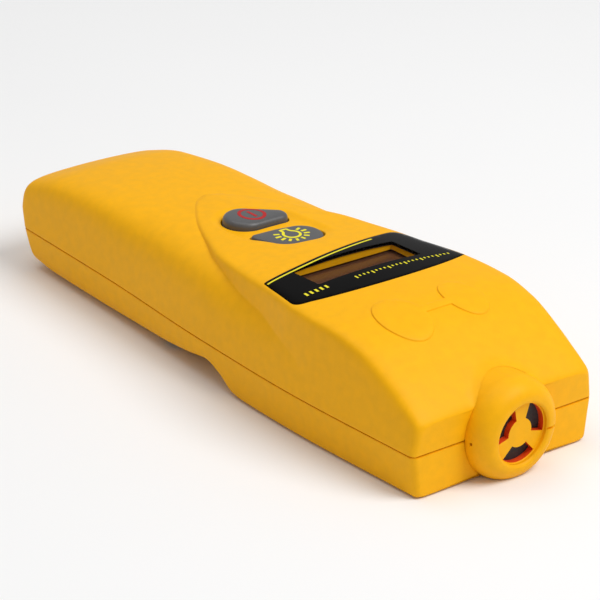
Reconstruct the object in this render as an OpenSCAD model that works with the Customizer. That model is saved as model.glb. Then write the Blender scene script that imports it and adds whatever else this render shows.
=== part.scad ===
// Handheld gas detector with a sensor nose, a display window, two keys and a battery handle.
// Millimetres. X across, +Y towards the sensor nose, +Z out of the display side.
// The origin is at the middle of the underside.

/* [Case] */
// Y of the rear end of the handle
case_rear = -81; // [-82:0.5:-80.5]
// Y of the flat front face
case_front = 74.8; // [74:0.2:75.4]
// Height at which the two case halves meet
parting = 10.4; // [10:0.1:10.8]
// Wall thickness of the two case halves
wall = 2; // [1.6:0.1:2.2]
// Height of the raised emblem on the front slope
emblem_h = 0.35; // [0.2:0.05:0.5]

/* [Display] */
// Width of the display window
window_w = 31.6; // [28:0.2:32]
// Length of the display window along the case
window_l = 10.2; // [9:0.2:10.6]
// Y of the middle of the display window
window_y = 22.2; // [22:0.1:22.4]
// Thickness of the glossy display lens
lens_t = 0.7; // [0.5:0.05:0.8]
// Thickness of the printed film behind the lens
mask_t = 0.15; // [0.1:0.05:0.2]

/* [Keys] */
// Height of the power key's top
power_top = 31.6; // [31:0.1:32]
// Height of the backlight key's top
backlight_top = 30.7; // [30.4:0.1:31]
// Travel of each key
key_travel = 1; // [0.6:0.1:1]
// Gap between a key and its opening
key_gap = 0.35; // [0.3:0.05:0.5]

/* [Sensor nose] */
// Largest radius of the nose
nose_r = 12.4; // [12.1:0.1:12.6]
// Height of the nose's centre
nose_z = 11; // [10.8:0.1:11.3]
// Y of the nose's front rim
nose_front = 81; // [80.6:0.2:81.4]
// Radius of the grille opening
grille_r = 7.45; // [7:0.05:7.8]
// Radius of the sensor cell
cell_r = 8; // [7.6:0.1:8]
// Length of the sensor cell
cell_l = 14; // [12:0.5:15]

/* [Battery] */
// Width of the battery
battery_w = 26.5; // [26:0.1:26.8]
// Thickness of the battery
battery_t = 17.5; // [17:0.1:17.6]
// Length of the battery's body
battery_l = 46.4; // [46:0.1:46.6]
// Half-width of the battery cover
cover_hw = 15; // [14.8:0.1:15.2]
// Running gap round the battery cover
cover_gap = 0.2; // [0.15:0.05:0.3]

/* [Board] */
// Height of the main board's underside
board_z = 19.4; // [19:0.1:19.8]
// Thickness of the boards
board_t = 1.6; // [1.2:0.2:1.6]
// Width of the main board
board_w = 43; // [40:0.5:44]

/* [Hidden] */
eps = 0.01;

yellow = "gold";
grey_key = "dimgray";

// Half-width of the case along the parting line, as [y, half-width]
width_knots = [[-81, 22.9], [-40, 24.8], [0, 27.9], [35, 29.2], [75, 27.9]];
// Height of the handle's back along the middle
handle_knots = [[-81, 23.0], [-68, 26.9], [-45, 29], [-20, 29.6], [0, 29.6], [35, 28.8]];
// Squareness of the handle's shoulders
handle_corner_knots = [[-81, 9], [-55, 9], [-42, 7.5], [-28, 5.8], [-4, 5.8], [6, 4.7], [16, 4.3], [25, 4.5],
    [31, 5.1], [40, 4.5]];
// Height of the underside: flat head, finger notch, handle
under_knots = [[-81, 1.2], [-70, 0], [-50, 0], [-20, 1.2], [-8, 2.6], [3, 4.4], [7, 3.3], [12, 0.4],
    [16, 0], [75, 0]];
// Squareness of the lower edges and draft of the lower walls
under_corner_knots = [[-81, 7], [0, 7], [12, 22], [75, 30]];
under_draft_knots = [[0, 0.1], [75, 0.14]];
// Tongue-shaped edge of the raised head: half-width, height and crown
tongue_knots = [[-34, 0.5], [-32, 4.6], [-26.5, 9.5], [-20.7, 13.4], [-10, 18.6], [-4, 21.2], [2.6, 22.8],
    [9.4, 24.1], [18.4, 25.2], [25.4, 26.6], [31.3, 27.6], [40, 28], [56, 27.5], [75, 26.6]];
head_knots = [[-34, 29.4], [-27, 29.6], [-20, 29.7], [0, 29.8], [17, 30.4], [31, 30.7], [45, 30.6], [54, 29.2],
    [64, 24.9], [70, 21.4], [75, 17.8]];
crown_knots = [[-34, 0.4], [-20, 0.7], [0, 1.2], [20, 1.8], [50, 1.8], [75, 0.6]];
head_corner_knots = [[0, 30], [35, 30], [55, 20], [68, 14]];
head_start = -34;
handle_draft = 0.05;
handle_crown = 1.2;
head_lean = 1;

// Rounding of the rear and front ends
rear_round = 2.5;
front_round = 1.6;
// Forward lean of the rear end's foot and of the front face's foot
rear_lean = 0.33;
front_lean = 0.07;

// Stations along the case, closer together where the head rises out of the handle
stations = concat([for (a = [0, 25, 50, 90]) case_rear + rear_round * (1 - cos(a))],
    [-73, -66, -58, -50, -42, -36], [for (y = [-32.9 : 3.3 : 40]) y],
    [for (y = [44 : 4 : 72]) y], [for (a = [0, 30, 60, 90]) case_front - front_round * (1 - sin(a))]);
inner_stations = concat([case_rear + wall, -73, -66, -54, -42],
    [for (y = [-33 : 6 : 39]) y], [46, 53, 60, 66], [case_front - wall]);

// Directions round half a section, closer together near the edge of the head
edge_angle = 35;
half_steps = 7;
half_angles = concat([for (i = [half_steps : -1 : 1]) edge_angle * (1 - pow(i / half_steps, 1.5))],
    [for (i = [0 : half_steps]) edge_angle + (90 - edge_angle) * pow(i / half_steps, 1.7)]);
angles = concat(half_angles, [for (i = [len(half_angles) - 2 : -1 : 0]) 180 - half_angles[i]]);

// ---------------------------------------------------------------- curves

// Index of the knot span that holds y
function span(k, y, i = 0) = i >= len(k) - 2 || y < k[i + 1].x ? i : span(k, y, i + 1);
function secant(k, i) = (k[i + 1].y - k[i].y) / (k[i + 1].x - k[i].x);
// Harmonic-mean slope at a knot, so the curve never overshoots
function slope(k, i) = i == 0 ? secant(k, 0) : i == len(k) - 1 ? secant(k, i - 1)
    : let (a = secant(k, i - 1), b = secant(k, i)) a * b <= 0 ? 0 : 2 * a * b / (a + b);
// Smooth curve through knots, held level past both ends
function ease(k, y) = let (
    v = min(max(y, k[0].x), k[len(k) - 1].x), i = span(k, v),
    h = k[i + 1].x - k[i].x, t = (v - k[i].x) / h)
    (1 + 2 * t) * pow(1 - t, 2) * k[i].y + t * pow(1 - t, 2) * h * slope(k, i)
    + t * t * (3 - 2 * t) * k[i + 1].y + t * t * (t - 1) * h * slope(k, i + 1);
function fade(a, b, y) = let (t = min(max((y - a) / (b - a), 0), 1)) t * t * (3 - 2 * t);

// Smooth meeting of a wall and a roof at distances a and b along one direction
function corner(a, b, p) = pow(pow(a, -p) + pow(b, -p), -1 / p);
// Distance to an arched roof of height h and curvature k, in direction (c, s)
function arch(c, s, h, k) = k * c * c < 1e-6 ? h / s
    : (-s + sqrt(s * s + 4 * k * c * c * h)) / (2 * k * c * c);

// Half-width of the head's wall where it meets the parting line, inside the handle's till the front
function head_base(y) = let (f = fade(32, 48, y))
    (ease(tongue_knots, y) + head_lean) * (1 - f) + ease(width_knots, y) * f;

// Radius of the handle's upper section in direction a
function handle_radius(y, a) = let (c = max(abs(cos(a)), eps / 10), s = max(sin(a), eps / 10),
    w = ease(width_knots, y), h = ease(handle_knots, y) - parting)
    corner(w / (c + handle_draft * s), arch(c, s, h, handle_crown / (w * w)), ease(handle_corner_knots, y));

// Radius of the head's upper section in direction a
function head_radius(y, a) = let (c = max(abs(cos(a)), eps / 10), s = max(sin(a), eps / 10),
    w = ease(tongue_knots, y), h = ease(head_knots, y) - parting, r = ease(crown_knots, y), b = head_base(y))
    corner(b / (c + (b - w) / h * s), arch(c, s, h + r, r / pow(max(w, 1), 2)), ease(head_corner_knots, y));

// The upper skin is the handle, the head, or whichever stands proud of the other
function upper_radius(y, a) = y < head_start ? handle_radius(y, a)
    : let (f = fade(44, 54, y), q = head_radius(y, a)) max(handle_radius(y, a), q) * (1 - f) + q * f;

function lower_radius(y, a) = let (c = max(abs(cos(a)), eps / 10), s = max(sin(a), eps / 10),
    w = ease(width_knots, y), h = parting - ease(under_knots, y))
    corner(w / (c + ease(under_draft_knots, y) * s), h / s, ease(under_corner_knots, y));

// Inward rounding of the skin near the two ends
function end_round(y) =
    let (a = max((case_rear + rear_round - y) / rear_round, 0), b = max((y - case_front + front_round) / front_round, 0))
    rear_round * (1 - sqrt(max(1 - a * a, 0))) + front_round * (1 - sqrt(max(1 - b * b, 0)));

// Lean of the end walls with height z
function lean(y, z) = (1 - fade(case_rear, -55, y)) * rear_lean * max(parting + 5 - z, 0)
    + fade(50, 75, y) * front_lean * max(parting - z, 0);

// One section as a closed ring: side is 1 for the upper half and -1 for the lower half
function ring(y, side, inset, skirt) = let (cut = inset > 0 ? inset : end_round(y))
    [for (i = [0 : len(angles) - 1])
        let (a = angles[i], r = (side > 0 ? upper_radius(y, a) : lower_radius(y, a)) - cut,
            z = parting + side * (r * sin(a) - (skirt > 0 && (i == 0 || i == len(angles) - 1) ? skirt : 0)))
        [r * cos(a), y + lean(y, z), z]];

// Half of the case as a solid; inset makes the hollow inside it
module half_body(side, inset = 0) {
    ys = inset > 0 ? inner_stations : stations;
    n = len(angles);
    m = len(ys);
    points = [for (y = ys) each ring(y, side, inset, inset > 0 ? 1 : 0)];
    skin = [for (j = [0 : m - 2], i = [0 : n - 1]) [j * n + i, j * n + (i + 1) % n,
        (j + 1) * n + (i + 1) % n, (j + 1) * n + i]];
    rear_cap = [for (i = [0 : floor(n / 2) - 1]) [n - 1 - i, n - 2 - i, i + 1, i]];
    front_cap = [for (i = [0 : n - 1]) (m - 1) * n + i];
    faces = concat(skin, rear_cap, [front_cap]);
    polyhedron(points, side > 0 ? faces : [for (f = faces) [for (i = [len(f) - 1 : -1 : 0]) f[i]]], convexity = 6);
}

// Joins the faceted pieces of one moulding into a single skin, at their own size
module moulded() {
    resize([0, 0, 0]) children();
}

// Cylinder along Y from y0 to y1, centred in the nose
module nose_rod(r, y0, y1) {
    translate([0, y0, nose_z]) rotate([-90, 0, 0]) cylinder(r = r, h = y1 - y0, $fn = 64);
}

module box(x0, x1, y0, y1, z0, z1) {
    translate([x0, y0, z0]) cube([x1 - x0, y1 - y0, z1 - z0]);
}

// Plate with half-width hx between two Y and two Z values
module slab(hx, y0, y1, z0, z1) {
    box(-hx, hx, y0, y1, z0, z1);
}

module post(p, r, z0, z1, sides = 48) {
    translate([p.x, p.y, z0]) cylinder(r = r, h = z1 - z0, $fn = sides);
}

// ---------------------------------------------------------------- outlines

// Lens outline: swept rear edge, round rear corner, bowed front edge
lens_front = [for (t = [-1 : 0.125 : 1]) [26.2 * t, 31.2 + 4.4 * pow(1 - t * t, 0.8)]];
module lens_outline(inset = 0) {
    offset(delta = -inset)
        polygon(concat([[23.8, 17.2], [12, 15.9], [0, 14.1], [-12, 12.1], [-19.5, 11], [-22.8, 12.2], [-23.8, 15]],
            lens_front));
}

module window_outline(margin = 0) {
    translate([-window_w / 2 - margin, window_y - window_l / 2 - margin])
        square([window_w + 2 * margin, window_l + 2 * margin]);
}

// Two opposed drop shapes whose straight edges face each other
module power_outline() {
    hull() {
        translate([3.4, -14.6]) circle(r = 5.4, $fn = 40);
        translate([-4.4, -11.8]) circle(r = 2.6, $fn = 32);
    }
}

module backlight_outline() {
    hull() {
        translate([-2.4, -0.8]) circle(r = 5.1, $fn = 40);
        translate([2, -1]) circle(r = 5.1, $fn = 32);
        translate([7.7, -4.8]) circle(r = 1.3, $fn = 16);
    }
}

// Raised emblem: a large and a small oval joined by a bar
module emblem_outline() {
    translate([11.2, 51]) scale([1, 1.25]) circle(r = 6.4, $fn = 40);
    translate([-8, 50.4]) scale([1, 1.3]) circle(r = 5.3, $fn = 40);
    translate([-8, 49.6]) square([19, 2.4]);
}

// The layer of the upper skin between two depths, inside an outline
module skin_layer(depth_top, depth_bottom) {
    difference() {
        intersection() {
            translate([0, 0, 24]) linear_extrude(14) children();
            translate([0, 0, -depth_top]) half_body(1);
        }
        translate([0, 0, -depth_bottom]) half_body(1);
    }
}

// A recess cut from outside the upper skin down to a depth
module skin_recess(depth) {
    difference() {
        translate([0, 0, 24]) linear_extrude(14) children();
        translate([0, 0, -depth]) half_body(1);
    }
}

// ---------------------------------------------------------------- places

case_screw_spots = [[20, -19], [-20, -19], [21, 64], [-21, 64]];
case_screw_r = 1.25;
case_head_r = 2.5;
case_head_z = [1.6, 3.4];
case_screw_top = 14.4;
boss_r = 3.7;

board_screw_spots = [[17.5, -9], [-17.5, -9], [17.5, 52], [-17.5, 52]];
board_screw_r = 0.95;
board_top = board_z + board_t;
board_front = 57.4;
board_rear = -19;

mat_pegs = [[11.7, -22], [-11.7, -22], [11.7, 6.4], [-11.7, 6.4]];
mat_z = [24.8, 25.6];

dish_depth = 0.7;
key_flange_z = [27, 27.9];
power_stem = [2.6, -12.6];
backlight_stem = [-1.5, -2];
switch_top = 23.3;
stem_end = switch_top + key_travel + 0.3;

pocket_floor = 29.4;
frame_y = [12.2, 32.2];
glass_z = [26.8, pocket_floor - 0.55];

tube_r = 9.3;
tube_bore = 8.2;
tube_rear = 60;
cap_seat = case_front - 0.1;
hood_rear = 63;
grille_y = [78.1, 79.6];
cell_front = 77;

cover_front = -24;
cover_top = 2.4;
rail = 1.1;
rail_z = [1.5, cover_top];

battery_z = 3.5;
battery_rear = -73.6;
battery_front = battery_rear + battery_l;
terminal_h = 2.1;
terminal_x = 6.35;
terminal_z = battery_z + battery_t / 2;
snap_y = [battery_front + 0.3, battery_front + 4.8];

// ---------------------------------------------------------------- case

module top_inside() {
    translate([0, 0, pocket_floor]) linear_extrude(12) window_outline(1.3);
    for (p = case_screw_spots) post(p, boss_r, parting, 40, 24);
    for (p = board_screw_spots) post(p, 2.5, board_top, 40, 20);
    for (p = mat_pegs) post(p, 1.2, mat_z[0] - 0.3, 40, 12);
}

module top_case() {
    color(yellow) moulded() difference() {
        union() {
            half_body(1);
            skin_layer(-emblem_h, 0.3) emblem_outline();
        }
        difference() {
            half_body(1, wall);
            top_inside();
        }
        translate([0, 0, 20]) linear_extrude(20) window_outline();
        skin_recess(lens_t + mask_t) lens_outline();
        skin_recess(dish_depth) offset(r = 1.3) hull() {
            power_outline();
            backlight_outline();
        }
        translate([0, 0, 26]) linear_extrude(10) offset(r = key_gap) {
            power_outline();
            backlight_outline();
        }
        nose_rod(nose_r + 0.1, 61, 90);
        for (p = case_screw_spots) post(p, case_screw_r + 0.1, 5, case_screw_top + 0.6, 24);
        for (p = board_screw_spots) post(p, board_screw_r + 0.1, 15, 25, 16);
    }
}

module bottom_inside() {
    for (p = case_screw_spots) post(p, boss_r + 0.1, -5, parting, 24);
    for (side = [-1, 1]) box(side > 0 ? 14 : -18, side > 0 ? 18 : -14, -90, cover_front + 1, -1, 6);
    slab(18, cover_front + 0.2, cover_front + 2, -1, 5.2);
}

module bottom_case() {
    color(yellow) moulded() difference() {
        half_body(-1);
        difference() {
            half_body(-1, wall);
            bottom_inside();
        }
        slab(cover_hw + cover_gap, -100, cover_front + cover_gap, -5, cover_top + cover_gap);
        slab(cover_hw + rail + cover_gap, -100, cover_front - 0.8 + cover_gap,
            rail_z[0] - cover_gap, rail_z[1] + cover_gap);
        slab(13.6, battery_rear - 1.6, cover_front + 0.2, 0, 20);
        nose_rod(tube_r + 0.15, 57, 90);
        nose_rod(nose_r + 0.1, cap_seat - 0.1, 90);
        for (p = case_screw_spots) {
            post(p, case_screw_r + 0.15, 0, 12, 24);
            post(p, case_head_r + 0.25, -5, case_head_z[1], 24);
        }
    }
}

module battery_cover() {
    color(yellow) moulded() difference() {
        union() {
            intersection() {
                half_body(-1);
                slab(cover_hw, -90, cover_front, -1, cover_top);
            }
            slab(cover_hw + rail, -73, cover_front - 0.8, rail_z[0], rail_z[1]);
        }
        for (i = [0 : 4]) slab(8, -34 + 1.8 * i, -33.2 + 1.8 * i, -2, 1.25);
    }
}

// ---------------------------------------------------------------- sensor end

cap_arc = 5.4;
cap_profile = concat([[0, grille_y[0]], [tube_bore, grille_y[0]], [tube_bore, tube_rear], [tube_r, tube_rear],
    [tube_r, cap_seat], [nose_r - 0.1, cap_seat], [nose_r, cap_seat + 0.4]],
    [for (a = [0 : 15 : 75]) [nose_r - cap_arc * 0.75 * (1 - cos(a)), nose_front - cap_arc + cap_arc * sin(a)]],
    [[8.4, nose_front], [7.9, nose_front - 0.1], [grille_r, nose_front - 0.5], [grille_r, grille_y[1]],
    [0, grille_y[1]]]);

module grille_slot(turn) {
    hub_r = 3.5;
    slot_r = 7.2;
    half = 45;
    rotate(turn) difference() {
        intersection() {
            circle(r = slot_r, $fn = 64);
            polygon([[0, 0], [12 * cos(half), -12 * sin(half)], [14, 0], [12 * cos(half), 12 * sin(half)]]);
        }
        circle(r = hub_r, $fn = 48);
    }
}

module sensor_cap() {
    color(yellow) difference() {
        union() {
            translate([0, 0, nose_z]) rotate([-90, 0, 0]) rotate_extrude($fn = 96) polygon(cap_profile);
            difference() {
                nose_rod(nose_r, hood_rear, cap_seat + 0.5);
                slab(20, 50, 90, -20, nose_z);
                nose_rod(tube_bore, 50, cap_seat + 5);
            }
            for (side = [-1, 1]) box(side > 0 ? tube_r - 0.4 : -tube_r - 1.8, side > 0 ? tube_r + 1.8 : 0.4 - tube_r,
                tube_rear + 1, tube_rear + 3, nose_z - 1.5, nose_z + 1.5);
        }
        translate([0, grille_y[0] - 1, nose_z]) rotate([-90, 0, 0])
            linear_extrude(4) for (turn = [90, 210, 330]) grille_slot(turn);
        slab(20, 50, 90, -20, 0);
    }
}

module dust_filter() {
    color([0.12, 0.12, 0.13]) nose_rod(tube_bore - 0.2, cell_front + 0.5, grille_y[0]);
}

module sensor_gasket() {
    color([0.1, 0.1, 0.1]) difference() {
        nose_rod(tube_bore - 0.1, cell_front, cell_front + 0.5);
        nose_rod(5.6, cell_front - 1, cell_front + 1);
    }
}

module sensor_cell() {
    color("silver") difference() {
        nose_rod(cell_r, cell_front - cell_l, cell_front);
        nose_rod(3, cell_front - 0.6, cell_front + 1);
        for (a = [90, 210, 330]) pin_at(a, 0.45, cell_front - cell_l - 1, cell_front - cell_l + 1);
    }
}

module pin_at(a, r, y0, y1) {
    translate([5 * cos(a), 0, 5 * sin(a)]) nose_rod(r, y0, y1);
}

module sensor_pins() {
    color("gold") for (a = [90, 210, 330]) pin_at(a, 0.45, board_front - 0.8, cell_front - cell_l + 1);
}

module sensor_board() {
    color("darkgreen") difference() {
        slab(9, board_front, board_front + board_t, 3, 19);
        for (a = [90, 210, 330]) pin_at(a, 0.55, 50, 60);
    }
}

module sensor_header() {
    color([0.1, 0.1, 0.1]) difference() {
        slab(6, board_front - 2.6, board_front, board_z - 2.6, board_z);
        pin_at(90, 0.8, 50, 60);
    }
}

// ---------------------------------------------------------------- display

module display_lens() {
    color([0.03, 0.03, 0.04]) moulded() skin_layer(0, lens_t) lens_outline(0.12);
}

module display_mask() {
    color("black") moulded() skin_layer(lens_t, lens_t + mask_t) difference() {
        lens_outline(0.12);
        window_outline(-0.2);
    }
}

module lcd_frame() {
    color([0.15, 0.15, 0.16]) difference() {
        slab(21, frame_y[0], frame_y[1], board_top, pocket_floor - 0.1);
        slab(19.7, frame_y[0] + 1.2, frame_y[1] - 1.2, board_top - 1, pocket_floor - 0.5);
        slab(16.6, window_y - 5.9, window_y + 5.9, board_top, pocket_floor + 1);
    }
}

module lcd_glass() {
    color([0.35, 0.36, 0.3]) slab(19.5, frame_y[0] + 1.4, frame_y[1] - 1.4, glass_z[0], glass_z[1]);
}

module lcd_backlight() {
    color("white") slab(19.5, frame_y[0] + 1.4, frame_y[1] - 3.4, board_top, glass_z[0]);
}

module zebra_strip() {
    color("pink") slab(17, frame_y[1] - 3.2, frame_y[1] - 1.5, board_top, glass_z[0]);
}

// ---------------------------------------------------------------- keys

// A key: shaped body with a bevelled top, a flange that holds it in, and a stem
module key(top, stem) {
    translate([0, 0, key_flange_z[0]]) linear_extrude(top - 0.7 - key_flange_z[0]) children();
    translate([0, 0, top - 0.7]) linear_extrude(0.35) offset(delta = -0.25) children();
    translate([0, 0, top - 0.35]) linear_extrude(0.35) offset(delta = -0.7) children();
    translate([0, 0, key_flange_z[0]]) linear_extrude(key_flange_z[1] - key_flange_z[0])
        offset(r = 0.8) children();
    post(stem, 1.4, stem_end, key_flange_z[0] + 0.5);
}

module power_key() {
    color(grey_key) key(power_top, power_stem) power_outline();
}

module backlight_key() {
    color(grey_key) key(backlight_top, backlight_stem) backlight_outline();
}

module key_mat() {
    color([0.75, 0.75, 0.72]) difference() {
        slab(13.4, -24, 8.2, mat_z[0], mat_z[1]);
        for (p = [power_stem, backlight_stem]) post(p, 2.3, 20, 30);
        for (p = mat_pegs) post(p, 1.3, 20, 30);
    }
}

module key_switches() {
    color([0.2, 0.2, 0.22]) for (p = [power_stem, backlight_stem]) {
        translate([p.x, p.y, board_top + 0.9]) cube([5, 5, 1.8], center = true);
        post(p, 1.1, board_top + 1.8, switch_top);
    }
}

// ---------------------------------------------------------------- boards

module main_board() {
    color("darkgreen") difference() {
        union() {
            slab(board_w / 2, -14, board_front, board_z, board_top);
            slab(15, board_rear, -13, board_z, board_top);
        }
        for (p = board_screw_spots) post(p, board_screw_r + 0.1, 15, 25);
    }
}

module processor() {
    color([0.08, 0.08, 0.08]) slab_at([-9, 26], [10, 10], board_z - 1.3, board_z);
}

module amplifier_chip() {
    color([0.08, 0.08, 0.08]) slab_at([12, 46], [5, 4], board_z - 1.5, board_z);
}

module slab_at(p, size, z0, z1) {
    box(p.x - size.x / 2, p.x + size.x / 2, p.y - size.y / 2, p.y + size.y / 2, z0, z1);
}

module board_capacitors() {
    color("navy") for (p = [[9, 2], [15.5, 2], [12, 36]]) post(p, 2.6, board_z - 6.5, board_z);
}

module crystal() {
    color("silver") {
        slab_at([-9, 14], [7, 4.4], board_z - 3.4, board_z);
        for (side = [-1, 1]) post([-9 + 3.5 * side, 14], 2.2, board_z - 3.4, board_z);
    }
}

module buzzer() {
    color([0.1, 0.1, 0.1]) difference() {
        post([-7, 42], 6.2, board_z - 5.8, board_z);
        post([-7, 42], 0.9, board_z - 8, board_z - 4.8);
    }
}

// ---------------------------------------------------------------- battery

module battery() {
    r = 1.6;
    x = battery_w / 2;
    color([0.16, 0.16, 0.18]) translate([0, battery_rear, battery_z]) {
        box(-x + r, x - r, 0, battery_l, 0, battery_t);
        box(-x, x, 0, battery_l, r, battery_t - r);
        for (side = [-1, 1], z = [r, battery_t - r]) translate([side * (x - r), 0, z])
            rotate([-90, 0, 0]) cylinder(r = r, h = battery_l, $fn = 32);
    }
}

module terminal(x, r, grow = 0) {
    translate([x, battery_front, terminal_z]) rotate([-90, 0, 0])
        cylinder(r = r + grow, h = terminal_h + grow, $fn = 48);
}

module battery_terminals() {
    color("silver") {
        terminal(-terminal_x, 2.9);
        terminal(terminal_x, 4.2);
    }
}

module battery_snap() {
    color([0.08, 0.08, 0.08]) difference() {
        slab(12.6, snap_y[0], snap_y[1], terminal_z - 6, terminal_z + 6);
        terminal(-terminal_x, 2.9, 0.15);
        terminal(terminal_x, 4.2, 0.15);
    }
}

// Round lead swept along its route
lead_r = 0.6;
lead_sides = 8;
lead_route = [[4, 0, 14], [4, 1.6, 14.2], [4.6, 3.4, 15.2], [5.4, 5, 16.6], [5.8, 5.8, 18], [6, 6, 19.4]];

module lead(mirror_x) {
    path = [for (p = lead_route) [p.x * mirror_x, snap_y[1] + p.y, p.z]];
    last = len(path) - 1;
    rings = [for (i = [0 : last]) let (
        d = i == 0 ? [0, 1, 0] : i == last ? [0, 0, 1] : path[i + 1] - path[i - 1],
        t = d / norm(d), u = [1, 0, 0], v = cross(t, u) / norm(cross(t, u)), w = cross(v, t))
        each [for (k = [0 : lead_sides - 1]) let (a = 360 * k / lead_sides)
            path[i] + lead_r * (cos(a) * w + sin(a) * v)]];
    sides = [for (i = [0 : last - 1], k = [0 : lead_sides - 1]) let (m = (k + 1) % lead_sides)
        [i * lead_sides + k, i * lead_sides + m, (i + 1) * lead_sides + m, (i + 1) * lead_sides + k]];
    first_cap = [for (k = [lead_sides - 1 : -1 : 0]) k];
    last_cap = [for (k = [0 : lead_sides - 1]) last * lead_sides + k];
    polyhedron(rings, concat(sides, [first_cap, last_cap]), convexity = 4);
}

module red_lead() {
    color("red") lead(1);
}

module black_lead() {
    color([0.05, 0.05, 0.05]) lead(-1);
}

module foam_pad() {
    color([0.3, 0.3, 0.3]) slab(9.5, -66, -34, battery_z + battery_t, 24.2);
}

// ---------------------------------------------------------------- fasteners

module cross_slot(p, z, size) {
    translate([p.x, p.y, z]) {
        cube([size, size / 4, 1.4], center = true);
        cube([size / 4, size, 1.4], center = true);
    }
}

module case_screws() {
    color("silver") for (p = case_screw_spots) difference() {
        union() {
            post(p, case_head_r, case_head_z[0], case_head_z[1]);
            post(p, case_screw_r, case_head_z[1], case_screw_top);
        }
        cross_slot(p, case_head_z[0], 2.8);
    }
}

module board_screws() {
    color("silver") for (p = board_screw_spots) difference() {
        union() {
            post(p, 1.9, board_z - 1.4, board_z);
            post(p, board_screw_r, board_z, 24.4);
        }
        cross_slot(p, board_z - 1.4, 2);
    }
}

top_case();
bottom_case();
battery_cover();
sensor_cap();
dust_filter();
sensor_gasket();
sensor_cell();
sensor_pins();
sensor_board();
display_lens();
display_mask();
lcd_glass();
lcd_frame();
lcd_backlight();
zebra_strip();
power_key();
backlight_key();
key_mat();
key_switches();
main_board();
processor();
amplifier_chip();
board_capacitors();
crystal();
buzzer();
battery();
battery_terminals();
battery_snap();
red_lead();
black_lead();
foam_pad();
board_screws();
case_screws();
sensor_header();
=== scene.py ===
"""Looks of a handheld gas detector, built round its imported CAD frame, with shapes in millimetres."""
import math

import bmesh
import bpy
import numpy as np
from mathutils import Matrix, Vector
from mathutils.geometry import delaunay_2d_cdt


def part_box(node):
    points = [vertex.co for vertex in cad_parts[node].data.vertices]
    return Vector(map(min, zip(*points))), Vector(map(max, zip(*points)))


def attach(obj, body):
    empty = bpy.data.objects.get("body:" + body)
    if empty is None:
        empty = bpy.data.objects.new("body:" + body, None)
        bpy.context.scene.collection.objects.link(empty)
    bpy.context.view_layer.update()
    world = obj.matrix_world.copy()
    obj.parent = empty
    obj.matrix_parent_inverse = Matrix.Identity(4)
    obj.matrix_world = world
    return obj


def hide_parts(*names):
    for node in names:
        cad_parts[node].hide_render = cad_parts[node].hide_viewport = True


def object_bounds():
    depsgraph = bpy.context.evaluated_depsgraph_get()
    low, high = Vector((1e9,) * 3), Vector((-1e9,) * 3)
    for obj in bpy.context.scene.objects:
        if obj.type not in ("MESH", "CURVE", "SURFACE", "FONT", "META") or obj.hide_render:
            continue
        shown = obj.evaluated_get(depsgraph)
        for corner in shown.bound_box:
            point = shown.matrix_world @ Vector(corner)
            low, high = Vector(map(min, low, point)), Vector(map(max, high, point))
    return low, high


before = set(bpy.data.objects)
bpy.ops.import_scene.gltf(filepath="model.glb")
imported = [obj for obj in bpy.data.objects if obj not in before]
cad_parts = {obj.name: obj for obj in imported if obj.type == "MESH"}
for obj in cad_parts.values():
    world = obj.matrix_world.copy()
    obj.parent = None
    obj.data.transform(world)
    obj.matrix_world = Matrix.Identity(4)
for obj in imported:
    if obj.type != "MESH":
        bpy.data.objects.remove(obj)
cad_low, cad_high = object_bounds()

MM = 0.001


def node_box(name):
    """Lowest and highest corner of a CAD node, in millimetres."""
    low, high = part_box(name)
    return np.array(low) / MM, np.array(high) / MM


PARTING = node_box("bottom_case")[1][2]
CASE_REAR = node_box("top_case")[0][1]
CASE_FRONT = node_box("top_case")[1][1]
NOSE_FRONT = node_box("sensor_cap")[1][1]
NOSE_R = node_box("sensor_cap")[1][0]
NOSE_Z = float(sum(node_box("sensor_cell"))[2] / 2)
POWER_TOP = node_box("power_key")[1][2]
BACKLIGHT_TOP = node_box("backlight_key")[1][2]
BOARD_TOP = node_box("main_board")[1][2]
BATTERY_REAR = node_box("battery")[0][1]
COVER_FRONT = node_box("battery_cover")[1][1]
POCKET_FLOOR = node_box("lcd_frame")[1][2] + 0.1

KEY_BOTTOM = 27.0        # underside of a key's flange
KEY_FLANGE = 27.9        # top of a key's flange
KEY_GAP = 0.35           # clearance round a key
WALL = 2.0               # thickness of the case
LENS_T = 0.7             # thickness of the lens
MASK_T = 0.15            # thickness of the film under the lens
COVER_HW = 15.0          # half-width of the battery cover
COVER_T = 2.4            # height of its inner face
COVER_RAIL = 1.1         # how far its rails stand out at each side
COVER_GAP = 0.2          # clearance round it
COVER_LIP = 0.8          # how far its front edge stands past the rails
GRILLE_R = 7.45          # radius of the nose's opening
SLOT_R = 7.2             # outer radius of the grille's slots
HUB_R = 3.5              # radius of the grille's hub
TUBE_R = 8.2             # radius inside the sensor tube
TUBE_OUTER_R = 9.3       # radius outside it
ABOVE = 40               # a height above the whole case
BEYOND = 90              # a distance past the case's ends and sides

# ---------------------------------------------------------------- the case's shape, as in the CAD
# Each list holds (y, value) knots along the case: the half-width at the parting line, the heights of the
# handle, the underside and the head, the draft of the lower wall, the half-width and crown of the head's
# roof, and how square each corner is, where a large value is a sharp corner.

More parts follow.
